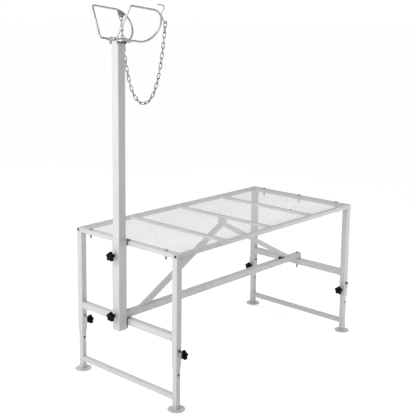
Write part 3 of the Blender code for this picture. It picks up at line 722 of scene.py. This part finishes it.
def build_bolts():
    for part in frame["record"]["subparts"]:
        node = part["node"]
        if node.startswith("rail_bolt"):
            centre = middle(node)
            bolt_pieces(node, centre.x, centre.y, DECK_TOP + 0.0003, RAIL_BOTTOM - 0.0003, low(node).z)
        if node.startswith("stretcher_bolt"):
            centre = middle(node)
            top, under = high("stretcher").z + 0.0003, low("crossbar_head").z - 0.0003
            bolt_pieces(node, centre.x, centre.y, top, under, low(node).z)
    sides = FASTENER_SIDES
    head = hexagon(0.0160, sides)
    shank = [(-0.0120, 0.0030), (-0.0112, 0.0038), (0, 0.0038), (0, 0.0092), (0.0012, 0.0092)]
    sections = turn(shank, sides)
    sections += [(0.0012, head), (0.0068, head), (0.0077, scaled(circle(0.0080, sides), 0.88))]
    bm = bmesh.new()
    loft(bm, sections, "Z")
    at = Matrix.Translation((DECK_X + BRACE_SCREW_X, 0, high("stretcher").z))
    piece("brace_foot_screw", bm, PLUG_BLACK, STAND, (), at)
    member = middle("cross_member_tail")
    bm = bmesh.new()
    screw = turn([(-0.0060, 0.0016), (-0.0050, 0.0022), (0.0, 0.0022), (0.0012, 0.0048), (0.0024, 0.0046),
                  (0.0036, 0.0034), (0.0040, 0.0012)], sides)
    loft(bm, screw, "Z")
    at = Matrix.Translation((member.x, MEMBER_SCREW_Y, high("cross_member_tail").z + 0.0004))
    piece("cross_member_screw", bm, ZINC, STAND, (), at)


def build_head_bolts():
    """The four bolts that hold the loops' tabs to the head plate, with black nuts below."""
    sides = FASTENER_SIDES
    tab_top, web_bottom = 0.0035, -0.0078
    for x in (-HEAD_BOLT_X, HEAD_BOLT_X):
        for y in (-HEAD_BOLT_Y, HEAD_BOLT_Y):
            at = HEAD_AXES @ Matrix.Translation((x, y, 0))
            label = f"{'rear' if x > 0 else 'front'}_{'left' if y > 0 else 'right'}"
            head = hexagon(0.0100, sides)
            shank = [(web_bottom - 0.0085, 0.0022), (web_bottom - 0.0080, 0.0028), (tab_top, 0.0028)]
            washer = [(tab_top, 0.0058), (tab_top + 0.0008, 0.0058), (tab_top + 0.0009, 0.0049)]
            sections = turn(shank + washer, sides)
            sections += [(tab_top + 0.0009, head), (tab_top + 0.0040, head),
                         (tab_top + 0.0046, scaled(circle(0.0050, sides), 0.90))]
            bm = bmesh.new()
            loft(bm, sections, "Z")
            piece(f"loop_bolt_{label}", bm, ZINC, HEADPIECE, (), at)
            sections = turn([(web_bottom - 0.0068, 0.0030), (web_bottom - 0.0068, 0.0038),
                             (web_bottom - 0.0060, 0.0046)], sides)
            sections += [(web_bottom - 0.0050, head), (web_bottom - 0.0004, head)]
            sections += turn([(web_bottom - 0.0001, 0.0047), (web_bottom - 0.0001, 0.0030)], sides)
            bm = bmesh.new()
            loft(bm, sections, "Z")
            piece(f"loop_nut_{label}", bm, NUT_BLACK, HEADPIECE, (), at)


def plug(name, body, axis, direction, at, size, corner, flange=0.0012):
    """A tube plug: a flat flange with rounded edges over the tube's end and a body inside it."""
    face = rounded_rectangle(size, size, corner)
    core = size - 2 * TUBE_WALL - 0.0006
    inside = rounded_rectangle(core, core, corner * 0.55)
    sections = [(-0.012, scaled(inside, 0.94)), (-0.010, inside), (0.0, inside), (0.0, face),
                (flange * 0.6, face), (flange, scaled(face, 1 - 0.8 * flange / size * 2))]
    bm = bmesh.new()
    loft(bm, flip(sections, direction), axis)
    piece(name, bm, PLUG_BLACK, body, (), Matrix.Translation(at))


def build_plugs():
    """Black plugs in the stretcher's ends, and the capped ends of the side rails, each cap with a black disc
    painted as the shade of a bolt hole.
    """
    for end, direction in ENDS.items():
        lo, hi = low("stretcher"), high("stretcher")
        x = hi.x if direction > 0 else lo.x
        centre = (lo + hi) / 2
        plug(f"stretcher_plug_{end}", STAND, "X", direction, (x + direction * 0.0001, 0, centre.z),
             hi.z - lo.z, 0.003)
        for side in ("near", "far"):
            rail_lo, rail_hi = low(f"side_rail_{side}"), high(f"side_rail_{side}")
            x = rail_hi.x if direction > 0 else rail_lo.x
            centre = (rail_lo + rail_hi) / 2
            at = (x, centre.y, centre.z)
            bm = bmesh.new()
            bore = rounded_rectangle(0.0128, 0.0128, 0.0016)
            sections = [(-0.004, bore), (-0.0006, bore), (-0.0004, scaled(bore, 0.97))]
            loft(bm, flip(sections, direction), "X")
            piece(f"rail_cap_{end}_{side}", bm, PAINT, STAND, (), Matrix.Translation(at))
            # black disc in the cap: painted shade of a bolt hole
            bm = bmesh.new()
            hole_shade_disc = turn([(-0.0030, 0.0048), (-0.0003, 0.0048), (-0.0002, 0.0056), (0.0004, 0.0054),
                           (0.0008, 0.0042), (0.0009, 0.0012)], 32)
            loft(bm, flip(hole_shade_disc, direction), "X")
            piece(f"rail_hole_shade_{end}_{side}", bm, PLUG_BLACK, STAND, (),
                  Matrix.Translation(at))


# ---------------------------------------------------------------- welds
def ripple(bm, route, normal, closed=True, radius=BEAD):
    """One weld bead: the route is cut into short steps and its thickness ripples along them."""
    points = [Vector(p) for p in route]
    ends = points[1:] + points[:1] if closed else points[1:]
    path = []
    for start, end in zip(points, ends):
        steps = max(1, round((end - start).length / BEAD_STEP))
        path += [start.lerp(end, i / steps) for i in range(steps)]
    if not closed:
        path.append(points[-1])
    swell = [1 + 0.16 * math.sin(2.2 * i) + 0.07 * math.sin(0.37 * i + 1.0) for i in range(len(path))]
    if not closed:
        swell = [s * min(1.0, 0.45 + 0.3 * min(i, len(path) - 1 - i)) for i, s in enumerate(swell)]
    sweep(bm, path, normal, radius, 8, closed, swell)


def ring_weld(bm, axis, across, where, size, grow=0.0):
    """A bead all round a tube that ends on a flat face."""
    outline = rounded_rectangle(size[0] + 2 * grow, size[1] + 2 * grow, 0.0025, 2)
    normal = along(axis, 0, 0, 1)
    ripple(bm, [along(axis, u + across[0], v + across[1], where) for u, v in outline], normal)


def under_weld(bm, node, y, size):
    """A bead down one side of a cross tube, under it and up the other side."""
    centre = middle(node)
    half = (size[0] / 2, size[1] / 2)
    top = high(node).z - 0.0022
    route = [(centre.x - half[0], y, top), (centre.x - half[0], y, centre.z - half[1]),
             (centre.x + half[0], y, centre.z - half[1]), (centre.x + half[0], y, top)]
    ripple(bm, route, (0, 1, 0), False)


def build_welds():
    """Painted beads where the frame's tubes are welded together."""
    bm = bmesh.new()
    for end in ENDS:
        bar = middle(f"crossbar_{end}")
        y = high(f"crossbar_{end}").y
        for side in (-1, 1):
            ring_weld(bm, "Y", (bar.x, bar.z), side * y, (LEG_SIZE, LEG_SIZE), -0.0006)
    for corner in CORNERS:
        leg = middle(f"outer_leg_{corner}")
        x = middle(f"inner_leg_{corner}").x
        ring_weld(bm, "Z", (x, leg.y), high(f"outer_leg_{corner}").z, (LEG_SIZE, LEG_SIZE), -0.0006)
    for node in ("end_rail_head", "end_rail_tail", "cross_member_head", "cross_member_middle",
                 "cross_member_tail"):
        lo, hi = low(node), high(node)
        for y in (lo.y, hi.y):
            under_weld(bm, node, y, (hi.x - lo.x, hi.z - lo.z))
    lo, hi = low("corner_gusset"), high("corner_gusset")
    seam = lo.y + 0.0006
    ripple(bm, [(lo.x, seam, lo.z + 0.002), (lo.x, seam, hi.z), (hi.x - 0.002, seam, hi.z)],
           (0, 1, 0), False)
    lo, hi = low("brace_bracket"), high("brace_bracket")
    member_lo, member_hi = low("cross_member_middle"), high("cross_member_middle")
    for x in (member_lo.x, member_hi.x):
        ripple(bm, [(x, lo.y + 0.002, hi.z), (x, hi.y - 0.002, hi.z)], (0, 0, 1), False)
    for node, outer, inner in (("brace_head", low("brace_head").x, 1),
                               ("brace_tail", high("brace_tail").x, -1)):
        across = (outer + inner * BRACE_FOOT_LENGTH / 2, 0)
        ring_weld(bm, "Z", across, low(node).z, (BRACE_FOOT_LENGTH, 0.020))
    piece("frame_welds", bm, WELD, STAND, ())
    for end in ENDS:
        bm = bmesh.new()
        bar = middle(f"floor_bar_{end}")
        lo, hi = low(f"floor_bar_{end}"), high(f"floor_bar_{end}")
        for y in (lo.y, hi.y):
            ring_weld(bm, "Y", (bar.x, bar.z), y, (hi.x - lo.x, hi.z - lo.z))
        for side in ("near", "far"):
            leg = middle(f"inner_leg_{end}_{side}")
            top = high(f"foot_disc_{end}_{side}").z
            ring_weld(bm, "Z", (leg.x, leg.y), top, (INNER_LEG_SIZE, INNER_LEG_SIZE), 0.0003)
        piece(f"lower_welds_{end}", bm, WELD, f"lower_frame_{end}", ())


def build_loop_welds():
    """Short beads between each loop's tab and its rod, and one where the hook's wire meets the rod."""
    for name, side in (("left", 1), ("right", -1)):
        bm = bmesh.new()
        for z in (-0.0030, 0.0030):
            y = side * (LOOP_OFFSET - 0.0026)
            ripple(bm, [(-0.016, y, z), (0.016, y, z)], (0, 0, 1), False, 0.0014)
        if name == "right":
            half = LOOP_HEIGHT / 2
            contact = arc((LOOP_REAR_CENTRE, half), half + 0.0012, 58, 40, 6)
            route = [tuple(on_loop(-1, s, t, LOOP_ROD)) for s, t in contact]
            ripple(bm, route, tuple(loop_normal(-1)), False, 0.0022)
        piece(f"loop_weld_{name}", bm, ROD_ZINC, HEADPIECE, (), HEAD_AXES)


# ---------------------------------------------------------------- scene
def build_camera():
    """The main view: from the head end's near side, a little above the deck."""
    heading, down, roll = (math.radians(angle) for angle in (CAMERA_HEADING, CAMERA_DOWN, CAMERA_ROLL))
    forward = Vector((math.cos(heading) * math.cos(down), math.sin(heading) * math.cos(down),
                      -math.sin(down)))
    level = Vector((math.sin(heading), -math.cos(heading), 0))
    upright = level.cross(forward)
    right = level * math.cos(roll) + upright * math.sin(roll)
    up = upright * math.cos(roll) - level * math.sin(roll)
    camera = bpy.data.cameras.new("camera")
    camera.sensor_width = 36
    camera.lens = CAMERA_LENS
    camera.shift_x, camera.shift_y = CAMERA_SHIFT
    ob = bpy.data.objects.new("camera", camera)
    bpy.context.scene.collection.objects.link(ob)
    ob.matrix_world = Matrix.Translation(CAMERA_PLACE) @ Matrix(
        [[right.x, up.x, -forward.x, 0], [right.y, up.y, -forward.y, 0], [right.z, up.z, -forward.z, 0],
         [0, 0, 0, 1]])
    bpy.context.scene.camera = ob


def build_light(name, place, target, size, power):
    data = bpy.data.lights.new(name, "AREA")
    data.shape = "RECTANGLE"
    data.size, data.size_y = size
    data.energy = power
    ob = bpy.data.objects.new(name, data)
    bpy.context.scene.collection.objects.link(ob)
    ob.location = place
    ob.rotation_euler = (Vector(target) - Vector(place)).to_track_quat("-Z", "Y").to_euler()
    ob.visible_camera = False


def shade_sky(tree, background):
    """White at the horizon, brighter overhead, dimmer higher up towards the near side and the head end."""
    direction = tree.nodes.new("ShaderNodeTexCoord").outputs["Generated"]

    def fade(towards, start, end, low_value, high_value):
        dot = tree.nodes.new("ShaderNodeVectorMath")
        dot.operation = "DOT_PRODUCT"
        dot.inputs[1].default_value = Vector(towards).normalized()
        tree.links.new(direction, dot.inputs[0])
        span = tree.nodes.new("ShaderNodeMapRange")
        span.interpolation_type = "SMOOTHSTEP"
        span.inputs["From Min"].default_value = start
        span.inputs["From Max"].default_value = end
        span.inputs["To Min"].default_value = low_value
        span.inputs["To Max"].default_value = high_value
        tree.links.new(dot.outputs["Value"], span.inputs["Value"])
        return span.outputs["Result"]

    def combine(operation, first, second):
        node = tree.nodes.new("ShaderNodeMath")
        node.operation = operation
        for socket, value in zip(node.inputs, (first, second)):
            tree.links.new(value, socket)
        return node.outputs["Value"]

    sides = combine("MULTIPLY", fade((0.25, -0.95, 0.10), 0.0, 0.9, 1.0, 0.20),
                    fade((-0.95, 0.25, 0.10), 0.0, 0.9, 1.0, 0.22))
    low_band = fade((0, 0, 1), 0.08, 0.20, 1.0, 0.0)
    upward = fade((0, 0, 1), 0.15, 0.9, 1.02, 1.35)
    strength = combine("MULTIPLY", combine("MAXIMUM", sides, low_band), upward)
    tree.links.new(strength, background.inputs["Strength"])


def build_studio():
    bm = bmesh.new()
    bmesh.ops.create_grid(bm, x_segments=1, y_segments=1, size=60)
    mesh = bpy.data.meshes.new("floor")
    bm.to_mesh(mesh)
    bm.free()
    floor = bpy.data.objects.new("floor", mesh)
    bpy.context.scene.collection.objects.link(floor)
    n = Nodes("studio_floor")
    colour = n.ramp(n.noise(0.7, 2.0), [(0.3, grey(0.95)), (0.7, grey(0.97))])
    n.finish(colour, n.span(n.noise(3.0), 0.7, 0.8), n.bump(n.noise(60.0), 0.02, 0.001))
    n.shader.inputs["Emission Color"].default_value = (1.0, 1.0, 1.0, 1.0)
    n.shader.inputs["Emission Strength"].default_value = 0.24
    floor.data.materials.append(n.material)
    world = bpy.data.worlds.new("studio")
    world.use_nodes = True
    background = world.node_tree.nodes["Background"]
    background.inputs["Color"].default_value = (1.0, 1.0, 1.0, 1.0)
    shade_sky(world.node_tree, background)
    bpy.context.scene.world = world
    build_light("key", (-2.2, 0.1, 1.5), (-0.6, 0, 0.6), (1.2, 1.9), 37)
    build_light("fill", (1.1, -1.2, 0.7), (0.5, -0.3, 0.5), (0.7, 0.9), 2.0)
    build_light("near_fill", (0.45, -0.9, 0.5), (0.4, 0, 0.5), (0.5, 0.4), 2.0)
    bpy.context.scene.view_settings.view_transform = "Standard"


def main():
    build_camera()
    build_studio()
    paint_frame_nodes()
    build_frame()
    build_inner_legs()
    build_expanded_mesh()
    build_loops()
    build_head_plate()
    build_head_bolts()
    build_chain_hook()
    build_chain()
    build_knobs()
    build_pins()
    build_bolts()
    build_plugs()
    build_welds()
    build_loop_welds()


main()
